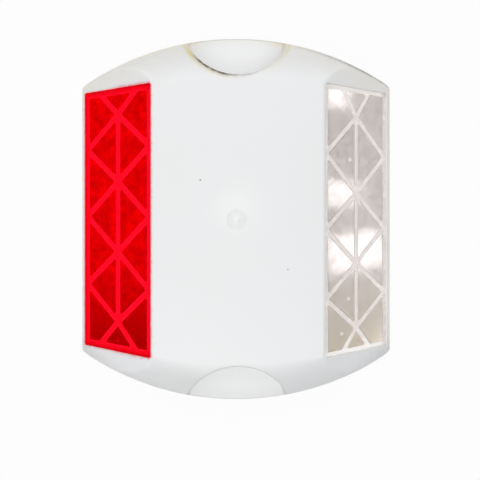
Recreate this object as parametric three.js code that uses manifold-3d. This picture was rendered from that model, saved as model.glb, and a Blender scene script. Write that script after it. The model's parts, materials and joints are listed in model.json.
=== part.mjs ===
// Reflective road stud: a low white marker, glued to the road, that throws headlight back both ways.
// A moulded shell with two sloping faces holds a red and a clear prism lens, each welded over a lattice
// of small closed cells, and a cast filling makes it solid. Millimetres; X runs with the traffic,
// Y across the lane, Z up from the road. The origin is the middle of the underside.

import * as THREE from "three";
import { mergeVertices } from "three/addons/utils/BufferGeometryUtils.js";
import Module from "manifold-3d";

const wasm = await Module();
wasm.setup();

// Outline of the body seen from above: straight in front of each lens, curved at the other two ends
const bodyLength = 85;
const bodyWidth = 99.2;
const straightWidth = 72.4;

// Side view: a low vertical lip, the sloping lens faces, and a deck that is slightly crowned
const bodyHeight = 17.8;
const lipHeight = 2.6;
const faceDegrees = 35;
const crownRadius = 560;

// Shoulder of each curved end: an upright rim, a wall drawn in by its draft, and an arc up to the deck
const rimHeight = 3;
const draftDegrees = 20;
const shoulderRadius = 14.3;
const shoulderRise = 0.06;

// Finger grips: half-round recesses in the curved ends, with an upright wall and a flat ledge
const gripRadius = 13.6;
const gripDepth = 13.1;
const gripLedgeHeight = 3.2;

// Shell wall, and the webs under its deck that key into the filling
const shellWall = 2.2;
const wallBehindCells = 1.8;
const webThickness = 1.6;
const webFootHeight = 7;
const webPitchX = 17;
const webPitchY = 20;
const websAlongX = 3;
const websAlongY = 2;

// Lenses: moulded acrylic plates let into the sloping faces, with prism fields on the back
const lensLength = 69;
const lensSlope = 24;
const lensThickness = 1.3;
const lensCorner = 0.6;
const lensChamfer = 0.2;
const lensFromLip = 1.1;
const prismFieldHeight = 0.7;
const prismRidgePitch = 1.2;

// Weld frame and lattice on the floor of each lens recess
const weldFrame = 1.3;
const cellDepth = 0.8;
const redRibWidth = 1.6;
const clearRibWidth = 1.2;

// Fits between the pieces
const lensEdgeGap = 0.3;
const weldGap = 0.3;
const prismFieldGap = 0.3;
const fillingGap = 0.3;
const cutOverrun = 2;

// Where the lattice's crossings lie along the lens, and how far out its end arms spread, as shares of
// half the lattice's length and width
const redCrossingShares = [0.815, 0.295, -0.25, -0.79];
const clearCrossingShares = [0.795, 0.204, -0.34, -0.836];
const redEndArmShare = 0.59;
const clearEndArmShare = 0.45;

// Facets of the round stretches
const endSegments = 120;
const shoulderSegments = 14;
const crownSegments = 12;
const gripSegments = 72;
const cornerSegments = 3;

// Sizes that follow from the ones above
const halfLength = bodyLength / 2;
const halfWidth = bodyWidth / 2;
const face = THREE.MathUtils.degToRad(faceDegrees);
const draft = THREE.MathUtils.degToRad(draftDegrees);
const endRise = (bodyWidth - straightWidth) / 2;
const endRadius = (halfLength ** 2 + endRise ** 2) / (2 * endRise);
const endCentre = halfWidth - endRadius;
const weldDepth = lensThickness + weldGap;
const recessFloorDepth = weldDepth + cellDepth;
const prismRidgeHeight = prismRidgePitch / (Math.SQRT2 + Math.SQRT1_2);

// A closed solid of a three.js geometry, with its faces pointing out.
function solidOf(geometry) {
  const bare = geometry.clone();
  bare.deleteAttribute("normal");
  bare.deleteAttribute("uv");
  const merged = mergeVertices(bare);
  const corners = merged.index.array;
  const triangles = [];
  for (let i = 0; i < corners.length; i += 3) {
    const [a, b, c] = corners.slice(i, i + 3);
    if (a !== b && b !== c && c !== a) triangles.push(a, b, c);
  }
  const make = (triVerts) =>
    new wasm.Manifold(
      new wasm.Mesh({
        numProp: 3,
        vertProperties: new Float32Array(merged.attributes.position.array),
        triVerts: new Uint32Array(triVerts),
      }),
    );
  const made = make(triangles);
  return made.volume() > 0 ? made : make(triangles.reverse());
}

// The geometry of a solid, ready for a mesh.
function geometryOf(solid) {
  const mesh = solid.getMesh();
  const geometry = new THREE.BufferGeometry();
  geometry.setAttribute("position", new THREE.BufferAttribute(mesh.vertProperties, 3));
  geometry.setIndex(new THREE.BufferAttribute(mesh.triVerts, 1));
  geometry.computeVertexNormals();
  return geometry;
}

// A prism of an outline that stands on the plane z = from and ends at z = to.
function upright(shape, from, to, curveSegments = 1) {
  const options = { depth: to - from, bevelEnabled: false, curveSegments };
  return new THREE.ExtrudeGeometry(shape, options).translate(0, 0, from);
}

// Height of the body in the side view, drawn in X and Z and run along the whole width.
function wedge(inset, faceInset, base) {
  const crownCentre = bodyHeight - crownRadius;
  const crown = crownRadius - inset;
  const slope = Math.tan(face);
  const end = halfLength - inset;
  const faceTop = lipHeight + halfLength * slope - faceInset / Math.cos(face);
  const endHeight = faceTop - end * slope;
  const reach = faceTop - crownCentre;
  const square = 1 + slope ** 2;
  const root = Math.sqrt((slope * reach) ** 2 - square * (reach ** 2 - crown ** 2));
  const deckEdge = (slope * reach - root) / square;
  const deckAngle = Math.acos(deckEdge / crown);

  const side = new THREE.Shape();
  if (endHeight > base) {
    side.moveTo(-end, base);
    side.lineTo(end, base);
    side.lineTo(end, endHeight);
  } else {
    const foot = (faceTop - base) / slope;
    side.moveTo(-foot, base);
    side.lineTo(foot, base);
  }
  side.absarc(0, crownCentre, crown, deckAngle, Math.PI - deckAngle, false);
  if (endHeight > base) side.lineTo(-end, endHeight);
  const span = bodyWidth + 2 * cutOverrun;
  return solidOf(upright(side, -span / 2, span / 2, crownSegments).rotateX(Math.PI / 2));
}

// One curved end with its shoulder, as a turned form about the centre of the end's arc.
function turnedEnd(side, inset, base) {
  const arcHeight = bodyHeight + shoulderRise - shoulderRadius;
  const wallRise = arcHeight + shoulderRadius * Math.sin(draft) - rimHeight;
  const arcRadius = shoulderRadius - inset;
  const arcOut = endRadius - wallRise * Math.tan(draft) - shoulderRadius * Math.cos(draft);
  const out = endRadius - inset;
  const arcStart = new THREE.Vector2(Math.cos(draft), Math.sin(draft)).multiplyScalar(arcRadius);
  const wallFoot = arcHeight + arcStart.y - (out - arcOut - arcStart.x) / Math.tan(draft);

  const profile = [new THREE.Vector2(0, base), new THREE.Vector2(out, base), new THREE.Vector2(out, wallFoot)];
  for (let i = 0; i <= shoulderSegments; i++) {
    const turn = THREE.MathUtils.lerp(draft, Math.PI / 2, i / shoulderSegments);
    profile.push(new THREE.Vector2(arcOut + arcRadius * Math.cos(turn), arcHeight + arcRadius * Math.sin(turn)));
  }
  profile.push(new THREE.Vector2(0, arcHeight + arcRadius));
  const turned = new THREE.LatheGeometry(profile, endSegments).rotateX(Math.PI / 2);
  return solidOf(turned.translate(0, side * endCentre, 0));
}

// The body's outer form, or the same form drawn in by a wall.
function bodyForm(inset, faceInset, base) {
  const ends = turnedEnd(1, inset, base).intersect(turnedEnd(-1, inset, base));
  return wedge(inset, faceInset, base).intersect(ends);
}

// The round space of one finger grip, or that space with a wall round it.
function gripSpace(side, grow, from) {
  const round = new THREE.Shape();
  round.absarc(0, side * (halfWidth - gripDepth + gripRadius), gripRadius + grow, 0, 2 * Math.PI, false);
  return solidOf(upright(round, from, bodyHeight + cutOverrun, gripSegments / 2));
}

// Places a form drawn flat on one sloping face: its X runs up or down the slope and its Z points out.
function faceMatrix(side) {
  const along = lensFromLip + lensSlope / 2;
  const out = halfLength - along * Math.cos(face);
  const up = lipHeight + along * Math.sin(face);
  return new THREE.Matrix4().makeRotationY(side * face).setPosition(side * out, 0, up);
}

// A rectangle with small round corners, as a lens or its recess has.
function roundedRectangle(width, length, corner) {
  const x = width / 2;
  const y = length / 2;
  const shape = new THREE.Shape();
  shape.moveTo(x, y - corner);
  shape.absarc(x - corner, y - corner, corner, 0, Math.PI / 2, false);
  shape.absarc(corner - x, y - corner, corner, Math.PI / 2, Math.PI, false);
  shape.absarc(corner - x, corner - y, corner, Math.PI, 1.5 * Math.PI, false);
  shape.absarc(x - corner, corner - y, corner, 1.5 * Math.PI, 2 * Math.PI, false);
  return shape;
}

// The cells of one lattice, each as the corners of a polygon on the centre lines of its ribs: a spine
// joins the crossings, struts run from each crossing to the frame, and two arms spread at each end.
function latticeCells({ crossingShares, endArmShare, ribWidth }) {
  const x = lensSlope / 2 - weldFrame + ribWidth / 2;
  const y = lensLength / 2 - weldFrame + ribWidth / 2;
  const crossings = crossingShares.map((share) => share * y);
  const cells = [];
  for (let i = 1; i < crossings.length; i++) {
    const above = crossings[i - 1];
    const below = crossings[i];
    const middle = (above + below) / 2;
    for (const side of [1, -1]) {
      cells.push([[0, above], [side * x, middle], [0, below]]);
      if (i === 1) continue;
      const middleAbove = (crossings[i - 2] + above) / 2;
      cells.push([[side * x, middleAbove], [side * x, middle], [0, above]]);
    }
  }
  const ends = [
    [y, crossings[0], crossings[1]],
    [-y, crossings.at(-1), crossings.at(-2)],
  ];
  for (const [edge, crossing, next] of ends) {
    const arm = endArmShare * x;
    cells.push([[-arm, edge], [arm, edge], [0, crossing]]);
    for (const side of [1, -1]) {
      const strut = [side * x, (crossing + next) / 2];
      cells.push([[side * arm, edge], [side * x, edge], strut, [0, crossing]]);
    }
  }
  return cells;
}

// A cell's polygon with every edge moved inwards by the same distance.
function drawnIn(corners, distance) {
  const points = corners.map(([x, y]) => new THREE.Vector2(x, y));
  if (THREE.ShapeUtils.area(points) < 0) points.reverse();
  const count = points.length;
  const lines = points.map((start, i) => {
    const along = points[(i + 1) % count].clone().sub(start).normalize();
    const inwards = new THREE.Vector2(-along.y, along.x);
    return { start: start.clone().addScaledVector(inwards, distance), along };
  });
  return lines.map((line, i) => {
    const before = lines[(i + count - 1) % count];
    const between = line.start.clone().sub(before.start);
    const travel = between.cross(line.along) / before.along.cross(line.along);
    return before.start.clone().addScaledVector(before.along, travel);
  });
}

// What the body loses at one lens: the recess for the plate, and the cells between the ribs below it.
function lensRecess(side, lattice) {
  const width = lensSlope + 2 * lensEdgeGap;
  const length = lensLength + 2 * lensEdgeGap;
  const opening = roundedRectangle(width, length, lensCorner + lensEdgeGap);
  let recess = solidOf(upright(opening, -weldDepth, cutOverrun, cornerSegments));
  for (const cell of latticeCells(lattice)) {
    const shape = new THREE.Shape(drawnIn(cell, lattice.ribWidth / 2));
    recess = recess.add(solidOf(upright(shape, -recessFloorDepth, -weldDepth / 2)));
  }
  return solidOf(geometryOf(recess).applyMatrix4(faceMatrix(side)));
}

// Webs under the deck, or the slots that leave them free in the filling.
function deckWebs(grow) {
  const web = (lengthX, lengthY, x, y) => {
    const box = new THREE.BoxGeometry(lengthX, lengthY, bodyHeight - webFootHeight + grow);
    return solidOf(box.translate(x, y, (bodyHeight + webFootHeight - grow) / 2));
  };
  const thickness = webThickness + 2 * grow;
  const places = (count, pitch) => Array.from({ length: count }, (_, i) => (i - (count - 1) / 2) * pitch);
  const webs = [
    ...places(websAlongX, webPitchY).map((y) => web(bodyLength, thickness, 0, y)),
    ...places(websAlongY, webPitchX).map((x) => web(thickness, bodyWidth, x, 0)),
  ];
  return webs.reduce((all, next) => all.add(next));
}

const redLattice = {
  crossingShares: redCrossingShares,
  endArmShare: redEndArmShare,
  ribWidth: redRibWidth,
};
const clearLattice = {
  crossingShares: clearCrossingShares,
  endArmShare: clearEndArmShare,
  ribWidth: clearRibWidth,
};

// Body shell: one moulding in white plastic, open underneath, with the webs left standing inside.
function bodyShell() {
  const behindLens = recessFloorDepth + wallBehindCells;
  let hollow = bodyForm(shellWall, behindLens, -cutOverrun);
  let shell = bodyForm(0, 0, 0);
  for (const side of [1, -1]) {
    hollow = hollow.subtract(gripSpace(side, shellWall, -2 * cutOverrun));
    shell = shell.subtract(gripSpace(side, 0, gripLedgeHeight));
  }
  shell = shell.subtract(hollow.subtract(deckWebs(0)));
  shell = shell.subtract(lensRecess(-1, redLattice)).subtract(lensRecess(1, clearLattice));
  return geometryOf(shell);
}

// What the ridges on the back of a lens leave of its prism fields. The ridges run across the lane, and
// each has the slope of a cube corner's facet towards the deck and the slope of its edge towards the lip.
function ridgedSlab(side) {
  const count = Math.ceil(lensSlope / prismRidgePitch);
  const half = (count * prismRidgePitch) / 2;
  const front = -lensThickness / 2;
  const tip = -lensThickness - prismFieldHeight;
  const profile = new THREE.Shape();
  profile.moveTo(-side * half, front);
  for (let i = 0; i < count; i++) {
    const start = i * prismRidgePitch - half;
    profile.lineTo(side * start, tip);
    profile.lineTo(side * (start + prismRidgeHeight * Math.SQRT1_2), tip + prismRidgeHeight);
  }
  profile.lineTo(side * half, tip);
  profile.lineTo(side * half, front);
  return solidOf(upright(profile, -lensLength / 2, lensLength / 2).rotateX(Math.PI / 2));
}

// Lens: a chamfered plate, flush with the sloping face, with a ridged prism field in each cell.
function lens(side, lattice) {
  const outline = roundedRectangle(lensSlope, lensLength, lensCorner);
  const plate = new THREE.ExtrudeGeometry(outline, {
    depth: lensThickness - 2 * lensChamfer,
    bevelThickness: lensChamfer,
    bevelSize: lensChamfer,
    bevelOffset: -lensChamfer,
    bevelSegments: 1,
    curveSegments: cornerSegments,
  });
  const ridges = ridgedSlab(side);
  let solid = solidOf(plate.translate(0, 0, lensChamfer - lensThickness));
  for (const cell of latticeCells(lattice)) {
    const field = new THREE.Shape(drawnIn(cell, lattice.ribWidth / 2 + prismFieldGap));
    const block = solidOf(upright(field, -lensThickness - prismFieldHeight, -lensThickness / 2));
    solid = solid.add(block.intersect(ridges));
  }
  return geometryOf(solid);
}

// Filling: cast into the upturned shell, so it follows the inside of the shell and its webs.
function filling() {
  const inset = shellWall + fillingGap;
  const behindLens = recessFloorDepth + wallBehindCells + fillingGap;
  let cast = bodyForm(inset, behindLens, 0);
  for (const side of [1, -1]) {
    cast = cast.subtract(gripSpace(side, shellWall + fillingGap, -cutOverrun));
  }
  return geometryOf(cast.subtract(deckWebs(fillingGap)));
}

function mesh(name, geometry, look) {
  const made = new THREE.Mesh(geometry, new THREE.MeshStandardMaterial(look));
  made.name = name;
  return made;
}

// A lens on its sloping face.
function onFace(side, lensMesh) {
  const turned = new THREE.Group();
  turned.applyMatrix4(faceMatrix(side));
  turned.add(lensMesh);
  return turned;
}

const whitePlastic = { color: 0xebecee, roughness: 0.42, metalness: 0 };
const redAcrylic = { color: 0xd00010, roughness: 0.12, metalness: 0 };
const clearAcrylic = { color: 0xc8c2be, roughness: 0.12, metalness: 0 };
const castFilling = { color: 0x8d8a84, roughness: 0.95, metalness: 0 };

const roadStud = new THREE.Group();
roadStud.name = "road_stud";
roadStud.add(mesh("body_shell", bodyShell(), whitePlastic));
roadStud.add(onFace(-1, mesh("red_lens", lens(-1, redLattice), redAcrylic)));
roadStud.add(onFace(1, mesh("clear_lens", lens(1, clearLattice), clearAcrylic)));
roadStud.add(mesh("filling", filling(), castFilling));

export default roadStud;
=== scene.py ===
import math
import json
import random

import bmesh
import bpy
import numpy as np
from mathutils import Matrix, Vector
from mathutils.geometry import delaunay_2d_cdt

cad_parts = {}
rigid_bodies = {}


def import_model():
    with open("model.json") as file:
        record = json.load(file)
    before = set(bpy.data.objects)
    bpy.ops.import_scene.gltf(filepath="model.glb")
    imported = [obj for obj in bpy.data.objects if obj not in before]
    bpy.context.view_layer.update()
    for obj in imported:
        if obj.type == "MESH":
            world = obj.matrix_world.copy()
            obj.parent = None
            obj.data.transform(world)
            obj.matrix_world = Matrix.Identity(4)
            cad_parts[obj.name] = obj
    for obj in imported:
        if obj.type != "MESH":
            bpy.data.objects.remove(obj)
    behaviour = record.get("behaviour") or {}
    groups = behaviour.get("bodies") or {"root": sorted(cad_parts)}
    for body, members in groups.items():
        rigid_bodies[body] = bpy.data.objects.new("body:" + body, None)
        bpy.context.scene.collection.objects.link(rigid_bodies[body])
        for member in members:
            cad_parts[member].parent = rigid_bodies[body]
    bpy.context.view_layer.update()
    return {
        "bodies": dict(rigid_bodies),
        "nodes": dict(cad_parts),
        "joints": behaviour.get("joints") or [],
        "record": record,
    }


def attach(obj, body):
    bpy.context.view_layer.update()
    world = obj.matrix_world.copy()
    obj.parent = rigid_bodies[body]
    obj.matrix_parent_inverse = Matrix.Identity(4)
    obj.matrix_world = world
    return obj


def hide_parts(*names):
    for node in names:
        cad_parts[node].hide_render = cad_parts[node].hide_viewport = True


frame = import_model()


# Body shell. One injection moulding in white ABS: a lip all round, two sloping faces, a crowned deck and two
# rounded ends, each with a finger grip. Every edge has the mould's own rounding, the gate's scar is in the
# middle of the deck, and a weld frame and ribs for each lens stand on the floor of its recess.
# Sizes are in millimetres, which MM turns into metres. Points nearer than MERGE are one.
MM = 0.001
MERGE = 0.001
HALF_LENGTH = 42.5
HALF_WIDTH = 49.6
STRAIGHT_HALF = 36.2
DECK_HEIGHT = 17.8
CROWN_RADIUS = 560.0
LIP_HEIGHT = 2.6
FACE_SLOPE = math.radians(35)
RIM_HEIGHT = 3.0
WALL_DRAFT = math.radians(20)
SHOULDER_RADIUS = 14.3
SHOULDER_TOP = 17.86
CORNER_RADIUS = 1.2
LIP_EDGE = 0.45
FOOT_EDGE = 0.2
GRIP_RADIUS = 13.6
GRIP_CENTRE = 50.1
GRIP_EDGE = 0.45
GRIP_WALL_RUN = 0.3
GRIP_FILLET = 0.6
GRIP_LEDGE = 3.2
DECK_CREASE = 0.25
SHOULDER_CREASE = 0.05
FACET_CREASE = 0.5
FACET_RUN = 2.5
GATE_CENTRE = (-0.32, 0.22)
GATE_RADIUS = 2.65
GATE_DEPTH = 0.12
GATE_STEP = 0.45
GATE_NUB_RADIUS = 0.55
GATE_NUB_HEIGHT = 0.1
SHELL_WALL = 2.2
HOLLOW_HALF_LENGTH = 38.5
WALL_BEHIND_FACE = 4.2

LENS_HALF_SLOPE = 12.0
LENS_HALF_LENGTH = 34.5
LENS_CORNER = 0.6
LENS_TO_EDGE = 13.1
LENS_THICKNESS = 1.3
LENS_GAP = 0.04
OPENING_EDGE = 0.08
WELD_OVERLAP = 0.02
CELL_DEPTH = 2.4
CELL_CORNER = 0.35
# Crossings are where ribs meet on a lens's middle line, and an end arm is how far the last ribs spread off it.
# Frames are the widths of the weld frame at the upper edge, at the lower edge and at the two ends.
LATTICES = {
    -1: {"crossings": (27.7, 10.0, -8.5, -26.9), "end_arm": 6.7, "rib": 1.6, "frames": (1.9, 1.3, 1.6)},
    1: {"crossings": (26.9, 6.9, -11.5, -28.3), "end_arm": 5.1, "rib": 1.2, "frames": (1.3, 1.3, 1.0)},
}

END_RADIUS = (HALF_LENGTH**2 + (HALF_WIDTH - STRAIGHT_HALF) ** 2) / (2 * (HALF_WIDTH - STRAIGHT_HALF))
END_CENTRE = HALF_WIDTH - END_RADIUS
CORNER_X = HALF_LENGTH - CORNER_RADIUS
CORNER_Y = END_CENTRE + math.sqrt((END_RADIUS - CORNER_RADIUS) ** 2 - CORNER_X**2)
CORNER_TURN = math.atan2(CORNER_Y - END_CENTRE, CORNER_X)
SHOULDER_CENTRE = SHOULDER_TOP - SHOULDER_RADIUS
WALL_TOP = SHOULDER_CENTRE + SHOULDER_RADIUS * math.sin(WALL_DRAFT)
WALL_IN = (WALL_TOP - RIM_HEIGHT) * math.tan(WALL_DRAFT)
SHOULDER_IN = WALL_IN + SHOULDER_RADIUS * math.cos(WALL_DRAFT)
FACE_X = HALF_LENGTH - LENS_TO_EDGE * math.cos(FACE_SLOPE)
FACE_Z = LIP_HEIGHT + LENS_TO_EDGE * math.sin(FACE_SLOPE)
OPENING_HALF_SLOPE = LENS_HALF_SLOPE + LENS_GAP
OPENING_HALF_LENGTH = LENS_HALF_LENGTH + LENS_GAP
OPENING_CORNER = LENS_CORNER + LENS_GAP


def soft_min(a, b, reach):
    """The lower of two heights, with the crease between them rounded."""
    overlap = np.maximum(reach - np.abs(a - b), 0)
    return np.minimum(a, b) - overlap**2 / (4 * reach)


def edge_drop(distance, radius):
    """How far a surface falls towards an edge of that radius, at a distance inside the edge."""
    inside = np.clip(radius - np.where(distance < MERGE, 0, distance), 0, radius)
    return radius - np.sqrt(radius**2 - inside**2)


def from_end(x, y):
    """Distance inside the arc of the nearer curved end."""
    return END_RADIUS - np.hypot(x, np.abs(y) - END_CENTRE)


def from_outline(x, y):
    """Distance inside the outline, which has small round corners."""
    across, up = np.abs(x) - CORNER_X, np.abs(y) - CORNER_Y
    turn = np.arctan2(up, across)
    plain = np.minimum(HALF_LENGTH - np.abs(x), from_end(x, y))
    return np.where((turn > 0) & (turn < CORNER_TURN), CORNER_RADIUS - np.hypot(across, up), plain)


def from_grip(x, y):
    """Distance outside the arc of the nearer finger grip."""
    return np.hypot(x, np.abs(y) - GRIP_CENTRE) - GRIP_RADIUS


def from_opening(x, y):
    """Distance outside the lens opening, measured on the sloping face."""
    u = np.abs((np.abs(x) - FACE_X) / math.cos(FACE_SLOPE)) - OPENING_HALF_SLOPE + OPENING_CORNER
    v = np.abs(y) - OPENING_HALF_LENGTH + OPENING_CORNER
    return np.hypot(np.maximum(u, 0), np.maximum(v, 0)) + np.minimum(np.maximum(u, v), 0) - OPENING_CORNER


def face_height(x):
    return LIP_HEIGHT + (HALF_LENGTH - np.abs(x)) * math.tan(FACE_SLOPE)


def end_height(x, y):
    inside = from_end(x, y)
    arc = np.sqrt(np.maximum(SHOULDER_RADIUS**2 - np.clip(SHOULDER_IN - inside, 0, None) ** 2, 0))
    wall = RIM_HEIGHT + np.maximum(inside, 0) / math.tan(WALL_DRAFT)
    return np.where(inside < WALL_IN, wall, SHOULDER_CENTRE + arc)


def body_height(x, y):
    crown = DECK_HEIGHT - (CROWN_RADIUS - np.sqrt(CROWN_RADIUS**2 - x**2))
    deck = soft_min(crown, end_height(x, y), SHOULDER_CREASE)
    crease = np.where(np.abs(y) > STRAIGHT_HALF - FACET_RUN, FACET_CREASE, DECK_CREASE)
    return soft_min(deck, face_height(x), crease)


def from_gate(x, y):
    return np.hypot(x - GATE_CENTRE[0], y - GATE_CENTRE[1])


def gate_height(x, y):
    """The shallow round step and the broken stub that the gate leaves, from the deck down."""
    step = np.clip((from_gate(x, y) - GATE_RADIUS) / GATE_STEP + 1, 0, 1)
    floor = -GATE_DEPTH * (1 - step**2 * (3 - 2 * step))
    return floor + GATE_NUB_HEIGHT * np.clip(1 - (from_gate(x, y) / GATE_NUB_RADIUS) ** 4, 0, 1)


def shell_top(x, y):
    outer = body_height(x, y)
    out = from_grip(x, y)
    foot = GRIP_LEDGE + GRIP_FILLET
    brim = np.maximum(outer - edge_drop(out, GRIP_EDGE), np.minimum(outer, foot))
    wall = foot + (np.maximum(outer - GRIP_EDGE, foot) - foot) * np.clip(1 + out / GRIP_WALL_RUN, 0, 1)
    ledge = GRIP_LEDGE + edge_drop(-out - GRIP_WALL_RUN, GRIP_FILLET)
    inside = np.minimum(np.where(out > -GRIP_WALL_RUN, wall, ledge), outer)
    top = np.where(out >= 0, brim, inside) + gate_height(x, y)
    top = top - edge_drop(from_outline(x, y), LIP_EDGE)
    return top - edge_drop(np.maximum(from_opening(x, y), 0), OPENING_EDGE)


def hollow_height(x, y):
    """Ceiling of the hollow inside the shell, which the filling takes up."""
    crown = DECK_HEIGHT - SHELL_WALL - x**2 / (2 * CROWN_RADIUS)
    inside = from_end(x, y)
    radius = SHOULDER_RADIUS - SHELL_WALL
    arc = SHOULDER_CENTRE + np.sqrt(np.maximum(radius**2 - np.clip(SHOULDER_IN - inside, 0, radius) ** 2, 0))
    wall_start = SHOULDER_IN - radius * math.cos(WALL_DRAFT)
    wall = SHOULDER_CENTRE + radius * math.sin(WALL_DRAFT) - (wall_start - inside) / math.tan(WALL_DRAFT)
    end = np.where(inside < wall_start, wall, arc)
    return np.minimum(np.minimum(crown, end), face_height(x) - WALL_BEHIND_FACE / math.cos(FACE_SLOPE))


# Lines and points of the shell's mesh, which lie closer where a surface bends more.
ROUNDING_LINES = 7
CORNER_LINES = 9
BOX_CORNER_LINES = 5
CELL_CORNER_STEPS = 3
FOOT_LINES = 4
OUTLINE_STEP = 0.6
OPENING_STEP = 0.8
GRIP_STEP = 0.45
GRIP_LINE_MARGIN = 0.08
BRIM_LINES = (0.3, 0.7, 1.2)
GRIP_WALL_SHARES = (0.35, 0.7, 1)
CREASE_X = 21.3
CREASE_LINES = (20.9, 21.05, 21.2, 21.3, 21.4, 21.5, 21.62)
CREASE_HALF = 33.6
CREASE_STEP = 0.8
HOLLOW_SIDE_POINTS = 24
HOLLOW_END_POINTS = 40
HOLLOW_GRIP_POINTS = 24
GRID_STEP = 0.9
FINE_STEP = 0.42
FINE_ROUND_CREASE = 1.0
FINE_WALL = 6.0
FINE_END = 14.0
CEILING_STEP = 2.5
CEILING_MARGIN = 0.8
SAME_POINT = 1e-6
# Rings on the gate's stub, its floor and its step, and one outside it.
GATE_POINTS = 48
GATE_LINES = (
    *(GATE_NUB_RADIUS * share for share in (0.6, 0.85, 1)), 1.2, 2.0,
    *(GATE_RADIUS - GATE_STEP * share for share in (1, 0.75, 0.5, 0.25, 0)), GATE_RADIUS + 0.35,
)
# How far the points between them keep from the lines.
CLEAR_OF_LINE = 0.15
CLEAR_OF_OPENING = 0.12
CLEAR_OF_BRIM = 1.4
CLEAR_OF_CREASE = 0.6
CLEAR_OF_CREASE_END = 0.1
CLEAR_OF_GATE = 0.6


def all_round(quarter):
    """A closed loop from its +X +Y quarter, which runs from the X axis to the Y axis."""
    half = np.concatenate([quarter, quarter[-2::-1] * (-1, 1)])
    return np.concatenate([half, half[-2:0:-1] * (1, -1)])


def outline_ring(inside):
    """The outline moved inwards, with the same count of points at any distance up to a corner's radius."""
    radius = CORNER_RADIUS - inside
    side = [(HALF_LENGTH - inside, y) for y in np.linspace(0, CORNER_Y, int(CORNER_Y / OUTLINE_STEP) + 1)]
    corner = [
        (CORNER_X + radius * math.cos(turn), CORNER_Y + radius * math.sin(turn))
        for turn in np.linspace(0, CORNER_TURN, CORNER_LINES)[1:-1]
    ]
    count = int((math.pi / 2 - CORNER_TURN) * END_RADIUS / OUTLINE_STEP) + 1
    end = [
        ((END_RADIUS - inside) * math.cos(turn), END_CENTRE + (END_RADIUS - inside) * math.sin(turn))
        for turn in np.linspace(CORNER_TURN, math.pi / 2, count)
    ]
    return all_round(np.array(side + corner + end))


def rounded_box(half_x, half_y, corner, step):
    """A closed loop of points round a rectangle with round corners, anticlockwise from its right side."""
    x, y = half_x - corner, half_y - corner
    rows = np.linspace(-y, y, max(2, int(2 * y / step) + 1))
    columns = np.linspace(x, -x, max(2, int(2 * x / step) + 1))
    bends = np.linspace(0, math.pi / 2, BOX_CORNER_LINES)[1:-1]
    arcs = []
    for quarter, (cx, cy) in enumerate(((x, y), (-x, y), (-x, -y), (x, -y))):
        turns = bends + quarter * math.pi / 2
        arcs.append([(cx + corner * math.cos(turn), cy + corner * math.sin(turn)) for turn in turns])
    loop = [(half_x, v) for v in rows] + arcs[0] + [(u, half_y) for u in columns] + arcs[1]
    loop += [(-half_x, v) for v in rows[::-1]] + arcs[2] + [(u, -half_y) for u in columns[::-1]] + arcs[3]
    return np.array(loop)


def within(x, y, loop):
    """True for points inside a closed loop."""
    inside = np.zeros(len(x), bool)
    for (ax, ay), (bx, by) in zip(loop, np.roll(loop, -1, axis=0)):
        if ay != by:
            inside ^= ((ay > y) != (by > y)) & (x < (bx - ax) * (y - ay) / (by - ay) + ax)
    return inside


def flat_mesh(border, holes, loops=(), lines=(), points=()):
    """Triangles inside a border and outside its holes, which also follow other loops, lines and points."""
    far = 2 * HALF_WIDTH
    coords, edges = [(-far, -far), (far, -far), (far, far), (-far, far)], []
    closed_ones = [border, *holes, *loops]
    for group, closed in [(loop, True) for loop in closed_ones] + [(line, False) for line in lines]:
        start = len(coords)
        coords.extend(map(tuple, group))
        edges.extend((start + i, start + i + 1) for i in range(len(group) - 1))
        if closed:
            edges.append((len(coords) - 1, start))
    coords.extend(map(tuple, points))
    found, _, faces, *_ = delaunay_2d_cdt([Vector(c) for c in coords], edges, [], 0, SAME_POINT)
    plane = np.array([tuple(v) for v in found])
    faces = np.array(faces)
    middle = plane[faces].mean(axis=1)
    kept = within(middle[:, 0], middle[:, 1], border)
    for hole in holes:
        kept &= ~within(middle[:, 0], middle[:, 1], hole)
    used, faces = np.unique(faces[kept], return_inverse=True)
    return plane[used], faces.reshape(-1, 3)


class Skin:
    """Collects the surfaces of one closed piece, in millimetres."""

    def __init__(self):
        self.points, self.faces, self.looks = [], [], []

    def add(self, points, faces, look=0, turned=False):
        start = sum(len(p) for p in self.points)
        self.points.append(np.asarray(points, float))
        for face in faces:
            corners = [start + int(i) for i in face]
            self.faces.append(corners[::-1] if turned else corners)
            self.looks.append(look)

    def band(self, upper, lower, look=0, turned=False):
        """Quads between two closed loops of the same count."""
        count = len(upper)
        quads = [(i, count + i, count + (i + 1) % count, (i + 1) % count) for i in range(count)]
        self.add(np.concatenate([upper, lower]), quads, look, turned)

    def make(self, name, sharp=35):
        """The piece as an object, shaded smooth but for edges that turn by more than an angle, in degrees."""
        mesh = bpy.data.meshes.new(name)
        mesh.from_pydata((np.concatenate(self.points) * MM).tolist(), [], self.faces)
        mesh.polygons.foreach_set("material_index", self.looks)
        built = bmesh.new()
        built.from_mesh(mesh)
        bmesh.ops.remove_doubles(built, verts=built.verts, dist=MERGE * MM)
        for face in built.faces:
            face.smooth = True
        for edge in built.edges:
            edge.smooth = edge.is_manifold and edge.calc_face_angle(0) < math.radians(sharp)
        built.to_mesh(mesh)
        built.free()
        piece = bpy.data.objects.new(name, mesh)
        bpy.context.scene.collection.objects.link(piece)
        return piece


def lifted(plan, height):
    """Points of a plan at a height, or at the height that a surface has there."""
    return np.column_stack([plan, height(*plan.T) if callable(height) else np.full(len(plan), height)])


def on_face(side, points, out):
    """Points of a lens's own plane, at a height over the sloping face, in the stud's frame."""
    points = np.asarray(points, float)
    x = FACE_X + points[:, 0] * math.cos(FACE_SLOPE) + out * math.sin(FACE_SLOPE)
    z = FACE_Z - points[:, 0] * math.sin(FACE_SLOPE) + out * math.cos(FACE_SLOPE)
    return np.column_stack([side * x, points[:, 1], z])


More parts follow.
